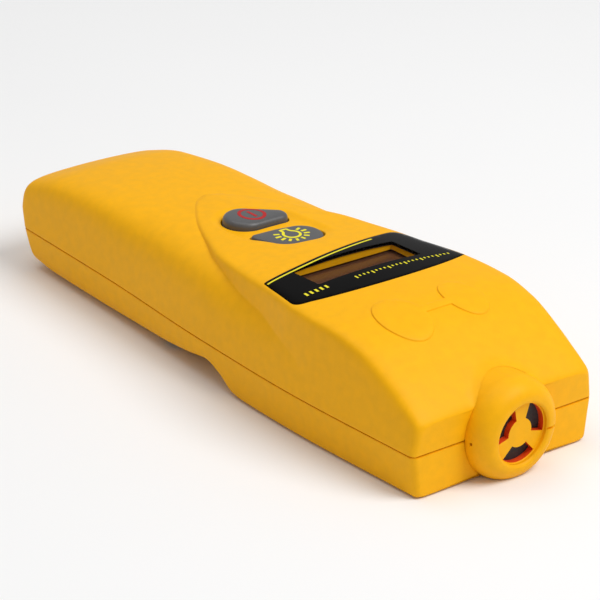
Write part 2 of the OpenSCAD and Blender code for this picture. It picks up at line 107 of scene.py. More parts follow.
WIDTH = [(-81, 22.9), (-40, 24.8), (0, 27.9), (35, 29.2), (75, 27.9)]
HANDLE = [(-81, 23.0), (-68, 26.9), (-45, 29), (-20, 29.6), (0, 29.6), (35, 28.8)]
HANDLE_CORNER = [(-81, 9), (-55, 9), (-42, 7.5), (-28, 5.8), (-4, 5.8), (6, 4.7), (16, 4.3), (25, 4.5),
                 (31, 5.1), (40, 4.5)]
UNDER = [(-81, 1.2), (-70, 0), (-50, 0), (-20, 1.2), (-8, 2.6), (3, 4.4), (7, 3.3), (12, 0.4), (16, 0),
         (75, 0)]
UNDER_CORNER = [(-81, 7), (0, 7), (12, 22), (75, 30)]
UNDER_DRAFT = [(0, 0.1), (75, 0.14)]
TONGUE = [(-34, 0.5), (-32, 4.6), (-26.5, 9.5), (-20.7, 13.4), (-10, 18.6), (-4, 21.2), (2.6, 22.8),
          (9.4, 24.1), (18.4, 25.2), (25.4, 26.6), (31.3, 27.6), (40, 28), (56, 27.5), (75, 26.6)]
HEAD = [(-34, 29.4), (-27, 29.6), (-20, 29.7), (0, 29.8), (17, 30.4), (31, 30.7), (45, 30.6), (54, 29.2),
        (64, 24.9), (70, 21.4), (75, 17.8)]
CROWN = [(-34, 0.4), (-20, 0.7), (0, 1.2), (20, 1.8), (50, 1.8), (75, 0.6)]
HEAD_CORNER = [(0, 30), (35, 30), (55, 20), (68, 14)]
HEAD_LEAN = 1
HEAD_START = -34
REAR_ROUND, FRONT_ROUND = 2.2, 1.6
REAR_LEAN, FRONT_LEAN = 0.33, 0.07
CREASE_SOFTNESS = 0.12
HOOD_FILLET = 1.6
SKIN_INSET = 0.07


def ease(knots, y):
    """Smooth curve through knots, which never overshoots them."""
    x, v = np.array(knots, float).T
    d = np.diff(v) / np.diff(x)
    m = np.zeros(len(x))
    m[0], m[-1] = d[0], d[-1]
    for i in range(1, len(x) - 1):
        m[i] = 0 if d[i - 1] * d[i] <= 0 else 2 * d[i - 1] * d[i] / (d[i - 1] + d[i])
    y = np.clip(np.asarray(y, float), x[0], x[-1])
    i = np.clip(np.searchsorted(x, y, side="right") - 1, 0, len(x) - 2)
    h = x[i + 1] - x[i]
    t = (y - x[i]) / h
    return ((1 + 2 * t) * (1 - t) ** 2 * v[i] + t * (1 - t) ** 2 * h * m[i]
            + t * t * (3 - 2 * t) * v[i + 1] + t * t * (t - 1) * h * m[i + 1])


def fade(a, b, y):
    t = np.clip((np.asarray(y, float) - a) / (b - a), 0, 1)
    return t * t * (3 - 2 * t)


def corner(a, b, p):
    """Smooth meeting of a wall and a roof at distances a and b along one direction."""
    return (a ** -p + b ** -p) ** (-1 / p)


def arch(c, s, h, k):
    """Distance to an arched roof of height h and curvature k, in direction (c, s)."""
    q = np.maximum(k * c * c, 1e-9)
    return (-s + np.sqrt(s * s + 4 * q * h)) / (2 * q)


def blend_max(a, b, k):
    """The larger of a and b, with a fillet of size k where they cross."""
    t = np.maximum(k - np.abs(a - b), 0) / k
    return np.maximum(a, b) + t * t * k / 4


def directions(a):
    return np.maximum(np.abs(np.cos(a)), 1e-3), np.maximum(np.sin(a), 1e-3)


def head_base(y):
    """Half-width of the head's wall where it meets the parting line, inside the handle's till the front."""
    f = fade(32, 48, y)
    return (ease(TONGUE, y) + HEAD_LEAN) * (1 - f) + ease(WIDTH, y) * f


def nose_radius(a):
    """Distance from the parting line's middle to the nose's surface in direction a."""
    rise = NOSE_Z - PARTING
    return rise * np.sin(a) + np.sqrt(NOSE_R ** 2 - (rise * np.cos(a)) ** 2)


def handle_radius(y, a):
    c, s = directions(a)
    w, h = ease(WIDTH, y), ease(HANDLE, y) - PARTING
    return corner(w / (c + 0.05 * s), arch(c, s, h, 1.2 / (w * w)), ease(HANDLE_CORNER, y))


def head_radius(y, a):
    c, s = directions(a)
    w, h, r, b = ease(TONGUE, y), ease(HEAD, y) - PARTING, ease(CROWN, y), head_base(y)
    wall = b / (c + (b - w) / h * s)
    return corner(wall, arch(c, s, h + r, r / np.maximum(w, 1) ** 2), ease(HEAD_CORNER, y))


def upper_radius(y, a):
    handle, head = handle_radius(y, a), head_radius(y, a)
    head = np.where(y < HEAD_START, 0, head)
    f = fade(44, 54, y)
    return blend_max(handle, head, CREASE_SOFTNESS) * (1 - f) + head * f - SKIN_INSET


def lower_radius(y, a):
    c, s = directions(a)
    w, h = ease(WIDTH, y), PARTING - ease(UNDER, y)
    return corner(w / (c + ease(UNDER_DRAFT, y) * s), h / s, ease(UNDER_CORNER, y)) - SKIN_INSET


def end_round(y):
    """Inward rounding of the skin near the two ends."""
    a = np.maximum((CASE_REAR + REAR_ROUND - y) / REAR_ROUND, 0)
    b = np.maximum((y - CASE_FRONT + FRONT_ROUND) / FRONT_ROUND, 0)
    return (REAR_ROUND * (1 - np.sqrt(np.maximum(1 - a * a, 0)))
            + FRONT_ROUND * (1 - np.sqrt(np.maximum(1 - b * b, 0))))


def lean(y, z):
    """Lean of the end walls with height z."""
    return ((1 - fade(-81, -55, y)) * REAR_LEAN * np.maximum(PARTING + 5 - z, 0)
            + fade(50, 75, y) * FRONT_LEAN * np.maximum(PARTING - z, 0))


# ---------------------------------------------------------------- outlines

def circle(cx, cy, r, n=48, start=0.0, end=2 * math.pi):
    """Points on a circle, or on an arc of it where start and end are given."""
    full = abs(end - start - 2 * math.pi) < 1e-9
    t = np.linspace(start, end, n, endpoint=not full)
    return np.stack([cx + r * np.cos(t), cy + r * np.sin(t)], 1)


def hull(points):
    """Convex hull, anticlockwise."""
    p = sorted(map(tuple, np.round(points, 6)))

    def half(seq):
        out = []
        for q in seq:
            while len(out) > 1 and ((out[-1][0] - out[-2][0]) * (q[1] - out[-2][1])
                                    - (out[-1][1] - out[-2][1]) * (q[0] - out[-2][0])) <= 1e-9:
                out.pop()
            out.append(q)
        return out[:-1]

    return np.array(half(p) + half(reversed(p)))


def densify(outline, step):
    """The same closed outline with points no further apart than step."""
    out = []
    for p, q in zip(outline, np.roll(outline, -1, 0)):
        n = max(1, math.ceil(np.linalg.norm(q - p) / step))
        out += [p + (q - p) * i / n for i in range(n)]
    return np.array(out)


def rounded(corners):
    """A closed outline from (x, y, r) corners, each cut back by r and bridged by a smooth curve."""
    c = np.array(corners, float)
    out = []
    for i in range(len(c)):
        a, p, b = c[i - 1, :2], c[i, :2], c[(i + 1) % len(c), :2]
        u, v = (a - p) / np.linalg.norm(a - p), (b - p) / np.linalg.norm(b - p)
        r = c[i, 2]
        if r <= 0:
            out.append(p)
            continue
        for t in np.linspace(0, 1, 8):
            out.append((1 - t) ** 2 * (p + u * r) + 2 * t * (1 - t) * p + t * t * (p + v * r))
    return np.array(out)


def offset(outline, d):
    """A smooth outline moved outwards by d."""
    if d == 0:
        return outline
    e = np.roll(outline, -1, 0) - outline
    e /= np.linalg.norm(e, axis=1)[:, None]
    n = np.stack([e[:, 1], -e[:, 0]], 1)
    m = n + np.roll(n, 1, 0)
    m /= np.maximum(np.linalg.norm(m, axis=1)[:, None], 1e-9)
    cos = np.clip((m * n).sum(1), 0.5, 1)
    return outline + m * (d / cos)[:, None]


def distance(points, outline):
    """Distance of each point from a closed outline, negative inside it."""
    a, b = outline, np.roll(outline, -1, 0)
    best = np.full(len(points), 1e9)
    inside = np.zeros(len(points), bool)
    for p, q in zip(a, b):
        d = q - p
        t = np.clip(((points - p) @ d) / (d @ d), 0, 1)
        best = np.minimum(best, np.linalg.norm(points - p - t[:, None] * d, axis=1))
        if p[1] != q[1]:
            crosses = (p[1] > points[:, 1]) != (q[1] > points[:, 1])
            inside ^= crosses & (points[:, 0] < p[0] + (points[:, 1] - p[1]) * d[0] / d[1])
    return np.where(inside, -best, best)


POWER_OUTLINE = densify(hull(np.vstack([circle(3.4, -14.6, 5.4), circle(-4.4, -11.8, 2.6, 32)])), 0.5)
BACKLIGHT_OUTLINE = densify(hull(np.vstack([circle(-2.6, -0.1, 5.1), circle(2, -0.8, 5.1, 40),
                                           circle(7.7, -4.8, 1.3, 16)])), 0.5)
DISH_OUTLINE = densify(hull(np.vstack([POWER_OUTLINE, BACKLIGHT_OUTLINE])), 1.0)

LENS_FRONT = [(26.2 * t, 31.2 + 4.4 * (1 - t * t) ** 0.8, 0) for t in np.linspace(-0.97, 0.87, 33)]
LENS_CORNERS = [(23.8, 17.2, 0.4), (12, 15.9, 5), (0, 14.1, 5), (-12, 12.1, 4), (-22.2, 10.7, 2.6),
                (-23.9, 15, 1.6), (-26.4, 31.4, 0.5), *LENS_FRONT, (26.5, 31.8, 2.4)]
LENS_OUTLINE = densify(rounded(LENS_CORNERS[::-1]), 0.6)
WINDOW = (-15.8, 15.8, 17.1, 27.3)      # x from, x to, y from, y to


def window_outline(grow=0.0):
    x0, x1, y0, y1 = WINDOW
    x0, x1, y0, y1 = x0 - grow, x1 + grow, y0 - grow, y1 + grow
    return densify(rounded([(x, y, 0.5) for x, y in ((x0, y0), (x1, y0), (x1, y1), (x0, y1))]), 0.8)


def emblem_outline():
    """A large and a small oval joined by a bar."""
    low, high = 49.6, 52.0
    parts = []
    for cx, cy, rx, ry, facing in ((11.2, 51.0, 6.4, 8.0, 1), (-8.0, 50.4, 5.3, 6.9, -1)):
        bottom, top = math.asin((low - cy) / ry), math.asin((high - cy) / ry)
        first, last = (-math.pi - bottom, math.pi - top) if facing > 0 else (top, 2 * math.pi + bottom)
        t = np.linspace(first, last, 60)
        parts.append(np.stack([cx + rx * np.cos(t), cy + ry * np.sin(t)], 1))
    return densify(np.vstack(parts), 0.6)


# ---------------------------------------------------------------- the upper skin as a height

STEP_X, STEP_Y = 0.25, 0.5
SKIN_X = np.arange(-30, 30.01, STEP_X)
SKIN_Y = np.arange(-40, 75.01, STEP_Y)


def skin_table():
    """Height of the upper skin at every SKIN_X and SKIN_Y."""
    rows = []
    a = np.linspace(math.pi / 2, 0.02, 700)
    for y in SKIN_Y:
        r = upper_radius(np.full_like(a, y), a)
        x, z = r * np.cos(a), PARTING + r * np.sin(a)
        rows.append(np.interp(np.abs(SKIN_X), x, z))
    return np.array(rows)


SKIN_Z = skin_table()


def skin(x, y):
    """Height of the upper skin over (x, y), with no dish round the keys."""
    u = np.clip((np.asarray(x, float) - SKIN_X[0]) / STEP_X, 0, len(SKIN_X) - 1.001)
    v = np.clip((np.asarray(y, float) - SKIN_Y[0]) / STEP_Y, 0, len(SKIN_Y) - 1.001)
    i, j = u.astype(int), v.astype(int)
    fu, fv = u - i, v - j
    return ((SKIN_Z[j, i] * (1 - fu) + SKIN_Z[j, i + 1] * fu) * (1 - fv)
            + (SKIN_Z[j + 1, i] * (1 - fu) + SKIN_Z[j + 1, i + 1] * fu) * fv)


DISH_DEPTH = 0.85


def dish(x, y):
    """Depth of the soft hollow round the keys, shallow in front of them."""
    x, y = np.asarray(x, float), np.asarray(y, float)
    points = np.stack([x.ravel(), y.ravel()], 1)
    near = (np.abs(points[:, 0]) < 16) & (points[:, 1] > -26) & (points[:, 1] < 10)
    depth = np.zeros(len(points))
    if near.any():
        p = points[near]
        front = fade(-5, 3.5, p[:, 1] + 0.35 * p[:, 0])
        depth[near] = DISH_DEPTH * (1 - 0.8 * front) * (1 - fade(0.2, 3.0, distance(p, DISH_OUTLINE)))
    return depth.reshape(x.shape)


def dished(x, y):
    """Height of the upper skin with the hollow round the keys."""
    return skin(x, y) - dish(x, y)


def level(z):
    """A height function that is the same everywhere."""
    return lambda x, y: np.full(np.shape(x), float(z))


def lifted(f, d):
    """The height function f, raised by d."""
    return lambda x, y: f(x, y) + d


# ---------------------------------------------------------------- mesh making

def build(name, verts, faces):
    """A closed mesh object in millimetres, its faces turned outwards."""
    mesh = bpy.data.meshes.new(name)
    mesh.from_pydata([tuple(v) for v in verts], [], [tuple(int(i) for i in f) for f in faces])
    bm = bmesh.new()
    bm.from_mesh(mesh)
    bmesh.ops.recalc_face_normals(bm, faces=bm.faces)
    bm.to_mesh(mesh)
    bm.free()
    o = bpy.data.objects.new(name, mesh)
    bpy.context.scene.collection.objects.link(o)
    return o


def strip(n, a, b):
    """Faces between two closed loops of n vertices that start at a and b."""
    return [(a + i, a + (i + 1) % n, b + (i + 1) % n, b + i) for i in range(n)]


def tube(name, rings):
    """A closed solid through rings of equal count, its ends filled in level strips."""
    n, m = len(rings[0]), len(rings)
    faces = [f for j in range(m - 1) for f in strip(n, j * n, (j + 1) * n)]
    for start in (0, (m - 1) * n):
        for i in range(n // 2):
            f = [start + i, start + i + 1, start + n - 2 - i, start + n - 1 - i]
            faces.append(list(dict.fromkeys(f)))
    return build(name, np.vstack(rings), [f for f in faces if len(f) > 2])


def fill(outline, step):
    """Triangles over an outline, with a grid of points inside it: the extra points and the faces."""
    low, high = outline.min(0), outline.max(0)
    gx, gy = np.meshgrid(np.arange(low[0], high[0], step), np.arange(low[1], high[1], step))
    grid = np.stack([gx.ravel(), gy.ravel()], 1)
    grid = grid[distance(grid, outline) < -0.45 * step] if len(grid) else grid
    n = len(outline)
    points = [Vector(p) for p in np.vstack([outline, grid])]
    verts, _, faces, _, _, _ = delaunay_2d_cdt(points, [], [list(range(n))], 1, 1e-6)
    assert len(verts) == len(points), "an outline crosses itself"
    return grid, [tuple(f) for f in faces]


def prism(name, outline, rings, step=1.5):
    """A solid through (offset, height function) rings of an outline, the first and last filled in."""
    n = len(outline)
    verts, faces = [], []
    loops = []
    for d, height in rings:
        p = offset(outline, d)
        loops.append(p)
        verts.append(np.column_stack([p, height(p[:, 0], p[:, 1])]))
    for k in range(len(rings) - 1):
        faces += strip(n, k * n, (k + 1) * n)
    count = len(rings) * n
    for k in (0, len(rings) - 1):
        grid, tris = fill(loops[k], step)
        if len(grid):
            verts.append(np.column_stack([grid, rings[k][1](grid[:, 0], grid[:, 1])]))
        faces += [tuple(k * n + i if i < n else count + i - n for i in f) for f in tris]
        count += len(grid)
    return build(name, np.vstack(verts), faces)


def revolve(name, profile, n=120):
    """A solid turned round the nose's axis from a closed profile of (radius, y)."""
    p = np.array(profile, float)
    p[:, 0] = np.maximum(p[:, 0], 0)
    t = np.linspace(0, 2 * math.pi, n, endpoint=False)
    verts, index = [], []
    for r, y in p:
        index.append((len(verts), r > 1e-6))
        verts += [(r * math.cos(a), y, NOSE_Z + r * math.sin(a)) for a in (t if r > 1e-6 else [0])]
    faces = []
    for (a, ring_a), (b, ring_b) in zip(index, index[1:] + index[:1]):
        for i in range(n):
            k = (i + 1) % n
            if ring_a and ring_b:
                faces.append((a + i, a + k, b + k, b + i))
            elif ring_a:
                faces.append((a + i, a + k, b))
            elif ring_b:
                faces.append((a, b + k, b + i))
    return build(name, verts, faces)


def block(name, x0, x1, y0, y1, z0, z1):
    v = [(x, y, z) for x in (x0, x1) for y in (y0, y1) for z in (z0, z1)]
    f = [(0, 1, 3, 2), (4, 6, 7, 5), (0, 4, 5, 1), (2, 3, 7, 6), (0, 2, 6, 4), (1, 5, 7, 3)]
    return build(name, v, f)


def post(name, x, y, r, z0, z1, n=48):
    return prism(name, circle(x, y, r, n), [(0, level(z1)), (0, level(z0))], step=50)


def rod(name, r, y0, y1, n=120):
    """A cylinder on the nose's axis."""
    return revolve(name, [(0, y0), (r, y0), (r, y1), (0, y1)], n)


def combine(o, other, operation="DIFFERENCE"):
    """Cuts, joins or keeps the overlap of o with other, which is used up."""
    m = o.modifiers.new("combine", "BOOLEAN")
    m.operation, m.solver, m.object = operation, "MANIFOLD", other
    bpy.context.view_layer.update()
    old = o.data
    mesh = bpy.data.meshes.new_from_object(o.evaluated_get(bpy.context.evaluated_depsgraph_get()))
    o.modifiers.clear()
    o.data = mesh
    bpy.data.meshes.remove(old)
    bpy.data.objects.remove(other)
    return o


def cut(o, *others):
    for other in others:
        combine(o, other)
    return o


def merge(o, *others):
    """Adds pieces that don't touch o, or that may lie in it, to its mesh as they are."""
    bm = bmesh.new()
    for part in (o, *others):
        bm.from_mesh(part.data)
    mesh = bpy.data.meshes.new(o.name)
    bm.to_mesh(mesh)
    bm.free()
    o.data = mesh
    for part in others:
        bpy.data.objects.remove(part)
    return o


def posts(name, spots, r, z0, z1, n=32):
    """Equal round posts as one mesh."""
    first, *rest = [post(f"{name}_{i}", x, y, r, z0, z1, n) for i, (x, y) in enumerate(spots)]
    return merge(first, *rest)


def place(o, body, slot, materials, *nodes, smooth=30):
    """Scales a piece to metres, gives it its finish and its body, and hides the CAD nodes that it stands for.
    """
    o.data.transform(Matrix.Scale(MM, 4))
    o.data.materials.clear()
    for m in materials:
        o.data.materials.append(m)
    o.data.polygons.foreach_set("use_smooth", [True] * len(o.data.polygons))
    o.data.set_sharp_from_angle(angle=math.radians(smooth))
    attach(o, body)
    if nodes:
        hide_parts(*nodes)
    return o


# ---------------------------------------------------------------- materials

ROUGH_DRIFT = 0.06


def linear(r, g, b):
    """Linear colour from the usual 0 to 255 values."""
    values = [c / 255 / 12.92 if c <= 10 else ((c / 255 + 0.055) / 1.055) ** 2.4 for c in (r, g, b)]
    return (*values, 1.0)


def material(name, colour, rough, spread=0.06, scale=900.0, grain=0.0, grain_scale=3500.0, texture="NOISE",
             **sockets):
    """A finish whose colour drifts by spread at one scale, with a grain of that height at another."""
    m = bpy.data.materials.new(name)
    m.use_nodes = True
    nodes, links = m.node_tree.nodes, m.node_tree.links
    shader = nodes["Principled BSDF"]
    where = nodes.new("ShaderNodeTexCoord")
    drift = nodes.new("ShaderNodeTexNoise")
    drift.inputs["Scale"].default_value = scale
    drift.inputs["Detail"].default_value = 3.0
    ramp = nodes.new("ShaderNodeValToRGB")
    for stop, at, factor in zip(ramp.color_ramp.elements, (0.3, 0.7), (1 - spread, 1 + spread)):
        stop.position = at
        stop.color = tuple(min(c * factor, 1.0) for c in colour[:3]) + (1.0,)
    links.new(where.outputs["Object"], drift.inputs["Vector"])
    links.new(drift.outputs["Fac"], ramp.inputs["Fac"])
    links.new(ramp.outputs["Color"], shader.inputs["Base Color"])
    wear = nodes.new("ShaderNodeMapRange")
    wear.inputs["To Min"].default_value = max(rough - ROUGH_DRIFT, 0.02)
    wear.inputs["To Max"].default_value = min(rough + ROUGH_DRIFT, 1.0)
    links.new(drift.outputs["Fac"], wear.inputs["Value"])
    links.new(wear.outputs["Result"], shader.inputs["Roughness"])
    if grain:
        if texture == "NOISE":
            fine = nodes.new("ShaderNodeTexNoise")
            fine.inputs["Detail"].default_value = 2.0
            out = fine.outputs["Fac"]
        elif texture == "CELLS":
            fine = nodes.new("ShaderNodeTexVoronoi")
            out = fine.outputs["Distance"]
        else:
            fine = nodes.new("ShaderNodeTexWave")
            fine.bands_direction = texture
            out = fine.outputs["Fac"]
        fine.inputs["Scale"].default_value = grain_scale
        bump = nodes.new("ShaderNodeBump")
        bump.inputs["Strength"].default_value = 1.0
        bump.inputs["Distance"].default_value = grain
        links.new(where.outputs["Object"], fine.inputs["Vector"])
        links.new(out, bump.inputs["Height"])
        links.new(bump.outputs["Normal"], shader.inputs["Normal"])
    for socket, value in sockets.items():
        shader.inputs[socket.replace("_", " ")].default_value = value
    return m


YELLOW = material("case_yellow", linear(248, 179, 6), 0.5, 0.035, 420.0, 0.000018, 2600.0,
                  Specular_IOR_Level=0.16)
PRINT_YELLOW = material("print_yellow", linear(240, 228, 30), 0.5, 0.03, 700.0, 0.000004, 5000.0)
PRINT_RED = material("print_red", linear(178, 14, 14), 0.5, 0.05, 700.0, 0.000004, 5000.0)
KEY_GREY = material("key_grey", linear(80, 80, 81), 0.4, 0.06, 600.0, 0.000012, 3000.0, Sheen_Weight=0.15)
LENS_BLACK = material("lens_black", linear(5, 4, 4), 0.2, 0.1, 200.0, Specular_IOR_Level=0.04)
SMOKE = material("window_smoke", linear(16, 10, 6), 0.1, 0.03, 200.0, Alpha=0.05, Specular_IOR_Level=0.04)
FILM = material("film_black", linear(9, 9, 9), 0.4, 0.1, 500.0)
LCD = material("lcd_glass", linear(92, 60, 42), 0.16, 0.05, 700.0, 0.000003, 4000.0)
BLACK_PLASTIC = material("plastic_black", linear(42, 42, 45), 0.45, 0.08, 700.0, 0.000015, 3000.0)
WHITE_PLASTIC = material("plastic_white", linear(238, 238, 232), 0.4, 0.02, 500.0, 0.00001, 2500.0)
SILICONE = material("silicone", linear(205, 205, 196), 0.55, 0.04, 500.0, 0.00001, 2500.0,
                    Subsurface_Weight=0.2, Subsurface_Scale=0.002)
ZEBRA = material("zebra", linear(220, 150, 160), 0.6, 0.05, 500.0, 0.00004, 1800.0, texture="X")
BOARD = material("board_green", linear(22, 96, 48), 0.3, 0.3, 380.0, 0.00003, 420.0, texture="CELLS",
                 Coat_Weight=0.4)
CHIP = material("chip_black", linear(34, 34, 35), 0.55, 0.1, 900.0, 0.00001, 4000.0)
BLUE = material("capacitor_blue", linear(30, 48, 130), 0.3, 0.06, 500.0, 0.00001, 1200.0, texture="Z",
                Coat_Weight=0.3)
STEEL = material("steel", linear(190, 190, 192), 0.32, 0.06, 900.0, 0.000012, 2400.0, Metallic=1.0)
GOLD = material("gold_pin", linear(230, 186, 96), 0.25, 0.05, 900.0, 0.000008, 2500.0, Metallic=1.0)
FILTER = material("filter_dark", linear(38, 34, 34), 0.6, 0.25, 1500.0, 0.00012, 700.0, texture="CELLS")
SEAL = material("seal_black", linear(20, 20, 20), 0.7, 0.1, 900.0, 0.00002, 2500.0)
WRAP = material("battery_wrap", linear(40, 42, 48), 0.25, 0.06, 300.0, 0.00001, 600.0, Coat_Weight=0.5)
RED_LEAD = material("lead_red", linear(200, 20, 22), 0.4, 0.05, 700.0, 0.00001, 2500.0)
BLACK_LEAD = material("lead_black", linear(20, 20, 20), 0.4, 0.08, 700.0, 0.00001, 2500.0)
FOAM = material("foam", linear(70, 70, 72), 0.9, 0.2, 1400.0, 0.0003, 1200.0, texture="CELLS")
# Deep orange for the walls of the grille's slots: painted shade, a darker copy of the case yellow standing
# for the shadow inside the openings.
SLOT_PAINTED_SHADE = material("slot_painted_shade", linear(236, 74, 10), 0.45, 0.05, 900.0, 0.00001, 3000.0)

NODE_FINISH = {
    "dust_filter": FILTER, "sensor_gasket": SEAL, "sensor_cell": STEEL, "sensor_pins": GOLD,
    "sensor_board": BOARD, "display_mask": FILM, "lcd_glass": LCD, "lcd_frame": BLACK_PLASTIC,
    "lcd_backlight": WHITE_PLASTIC, "zebra_strip": ZEBRA, "key_mat": SILICONE, "key_switches": BLACK_PLASTIC,
    "main_board": BOARD, "processor": CHIP, "amplifier_chip": CHIP, "board_capacitors": BLUE,
    "crystal": STEEL, "buzzer": BLACK_PLASTIC, "battery": WRAP, "battery_terminals": STEEL,
    "battery_snap": BLACK_PLASTIC, "red_lead": RED_LEAD, "black_lead": BLACK_LEAD, "foam_pad": FOAM,
    "board_screws": STEEL, "case_screws": STEEL, "sensor_header": BLACK_PLASTIC,
}
for node_name, finish in NODE_FINISH.items():
    for material_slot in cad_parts[node_name].material_slots:
        material_slot.material = finish

# ---------------------------------------------------------------- case shells

CASE_SCREWS = [(20, -19), (-20, -19), (21, 64), (-21, 64)]
BOARD_SCREWS = [(17.5, -9), (-17.5, -9), (17.5, 52), (-17.5, 52)]
MAT_PEGS = [(11.7, -22), (-11.7, -22), (11.7, 6.4), (-11.7, 6.4)]
STEEPEST_EDGE = math.radians(76)
LOWER_STEPS, UPPER_STEPS = 58, 34


def section_angles(y, side):
    """Directions round one section, closer together at the edge of the head or of the underside."""
    if side > 0:
        edge = math.atan2(float(ease(HEAD, y)) - PARTING, max(float(ease(TONGUE, y)), 3.0))
        edge = min(edge, STEEPEST_EDGE) if y > HEAD_START - 8 else STEEPEST_EDGE
    else:
        edge = math.atan2(PARTING - float(ease(UNDER, y)), float(ease(WIDTH, y)))
    low = edge * (1 - (1 - np.linspace(0, 1, LOWER_STEPS + 1)) ** 1.25)
    high = edge + (math.pi / 2 - edge) * np.linspace(0, 1, UPPER_STEPS + 1) ** 1.25
    half = np.concatenate([low, high[1:]])
    return np.concatenate([half, math.pi - half[-2::-1]])


def section(y, side, inset, rounding=None):
    """One cross-section of the upper (side 1) or lower (side -1) half, shrunk by inset."""
    a = section_angles(y, side)
    r = (upper_radius(np.full_like(a, y), a) if side > 0 else lower_radius(np.full_like(a, y), a)) - inset
    if rounding is not None:
        r = r - rounding
        if side > 0 and y > 60:
            r = blend_max(r, nose_radius(a), HOOD_FILLET)
    x, z = r * np.cos(a), PARTING + side * r * np.sin(a)
    y_out = y + lean(np.full_like(z, y), z)
    if side > 0:
        z = np.where(z > 26, z - dish(x, y_out), z)
    return np.column_stack([x, y_out, z])


def outer_stations():
    """Places along Y of the outer skin's sections, closer together at the rounded ends."""
    rear = [CASE_REAR + REAR_ROUND * (1 - math.cos(t)) for t in np.radians([0, 12, 24, 36, 48, 60, 75, 90])]
    front = [CASE_FRONT - FRONT_ROUND * (1 - math.sin(t)) for t in np.radians([0, 18, 36, 54, 68, 80, 90])]
    middle = [*np.arange(-77, -35, 1.4), *np.arange(-34.6, 40, 0.5), *np.arange(40, CASE_FRONT - 2, 0.8)]
    return [*rear, *middle, *front]


def shell(name, side):
    """The outer skin of one half of the case, as a solid."""
    return tube(name, [section(y, side, 0.0, float(end_round(y))) for y in outer_stations()])


def inset_body(name, side):
    """The case's half shrunk by the wall, reaching a little past the parting line."""
    rings = []
    for y in [*np.arange(CASE_REAR + WALL, CASE_FRONT - WALL, 2.0), CASE_FRONT - WALL]:
        ring = section(y, side, WALL)
        ring[[0, -1], 2] -= side * 1.0
        rings.append(ring)
    return tube(name, rings)


def parting_groove(half_width, depth):
    """What is cut along the parting line: a thin slab outside the shrunken case."""
    groove = block("groove", -BEYOND, BEYOND, -BEYOND, BEYOND, PARTING - half_width, PARTING + half_width)
    core_rings = []
    for y in [*np.arange(CASE_REAR + depth, CASE_FRONT - depth, 1.0), CASE_FRONT - depth]:
        w = float(ease(WIDTH, y)) - depth - float(end_round(y)) * 0.9
        y_out = y + float(lean(y, PARTING))
        corners = ((1, -1), (1, 1), (-1, 1), (-1, -1))
        core_rings.append(np.array([(sx * w, y_out, PARTING + sz) for sx, sz in corners]))
    return cut(groove, tube("groove_core", core_rings))


def cut_parting_line(o):
    """A fine gap between the halves, and a wider, shallower one along its mouth."""
    return cut(o, parting_groove(0.13, 0.9), parting_groove(0.3, 0.16))


def recess(name, outline, depth, chamfer):
    """A pocket cut down from the upper skin, its rim broken by a small chamfer."""
    return prism(name, outline, [(4 * chamfer, lifted(skin, 3 * chamfer)), (chamfer, skin),
                                 (0, lifted(skin, -chamfer)), (0, lifted(skin, -depth))])


def top_case():
    """The upper half: a shell with bosses, its window, key holes and raised emblem."""
    inside = inset_body("top_inside", 1)
    keep = merge(posts("case_bosses", CASE_SCREWS, 3.7, PARTING, ABOVE),
                 posts("board_bosses", BOARD_SCREWS, 2.5, BOARD_TOP, ABOVE),
                 posts("peg_bosses", MAT_PEGS, 1.2, 24.5, ABOVE),
                 prism("pocket_wall", window_outline(1.3), [(0, level(ABOVE)), (0, level(POCKET_FLOOR))],
                       step=50))
    combine(inside, keep)
    o = shell("top_case_visual", 1)
    emblem = prism("emblem", emblem_outline(), [(-0.3, lifted(skin, 0.34)), (-0.1, lifted(skin, 0.28)),
                                               (0, lifted(skin, 0.12)), (0.15, lifted(skin, -0.6))], step=1.2)
    combine(o, emblem, "UNION")
    cut(o, inside)
    cut(o, prism("window_hole", window_outline(), [(0, level(ABOVE)), (0, level(20))], step=50))
    cut(o, recess("lens_recess", LENS_OUTLINE, LENS_T + MASK_T, 0.12))
    for outline in (POWER_OUTLINE, BACKLIGHT_OUTLINE):
        rings = [(KEY_GAP + 0.9, lifted(dished, 0.75)), (KEY_GAP, lifted(dished, -0.15)),
                 (KEY_GAP, level(25))]
        cut(o, prism("key_hole", outline, rings, step=3))
    cut(o, rod("nose_bore", NOSE_R + 0.02, 61, BEYOND))
    cut(o, posts("case_bores", CASE_SCREWS, 1.35, 5, 15), posts("board_bores", BOARD_SCREWS, 1.05, 15, 25))
    cut_parting_line(o)
    place(o, "body", "case_yellow", [YELLOW], "top_case")


def bottom_case():
    """The lower half: a shell with bosses, screw holes and the battery bay."""
    inside = inset_body("bottom_inside", -1)
    keep = merge(posts("lower_bosses", CASE_SCREWS, 3.8, -5, PARTING),
                 block("rail_left", -18, -14, -BEYOND, COVER_FRONT + 1, -1, 6),
                 block("rail_right", 14, 18, -BEYOND, COVER_FRONT + 1, -1, 6))
    combine(inside, keep)
    combine(inside, block("bay_wall", -18, 18, COVER_FRONT + COVER_GAP, COVER_FRONT + 2, -1, 5.2))
    o = shell("bottom_case_visual", -1)
    cut(o, inside)
    hole_hw, hole_front, hole_top = COVER_HW + COVER_GAP, COVER_FRONT + COVER_GAP, COVER_T + COVER_GAP
    rail_hw = hole_hw + COVER_RAIL
    cut(o, block("cover_hole", -hole_hw, hole_hw, -BEYOND, hole_front, -5, hole_top),
        block("rail_hole", -rail_hw, rail_hw, -BEYOND, hole_front - COVER_LIP, 1.3, hole_top),
        block("bay", -13.6, 13.6, BATTERY_REAR - 1.6, hole_front, 0.5, 20))
    cut(o, rod("tube_bore", TUBE_OUTER_R + 0.15, 57, BEYOND),
        rod("nose_bore", NOSE_R + 0.05, CASE_FRONT - 0.2, BEYOND))
    cut(o, posts("screw_bores", CASE_SCREWS, 1.4, 0, 12), posts("head_bores", CASE_SCREWS, 2.75, -5, 3.4, 48))
    cut_parting_line(o)
    place(o, "body", "case_yellow", [YELLOW], "bottom_case")


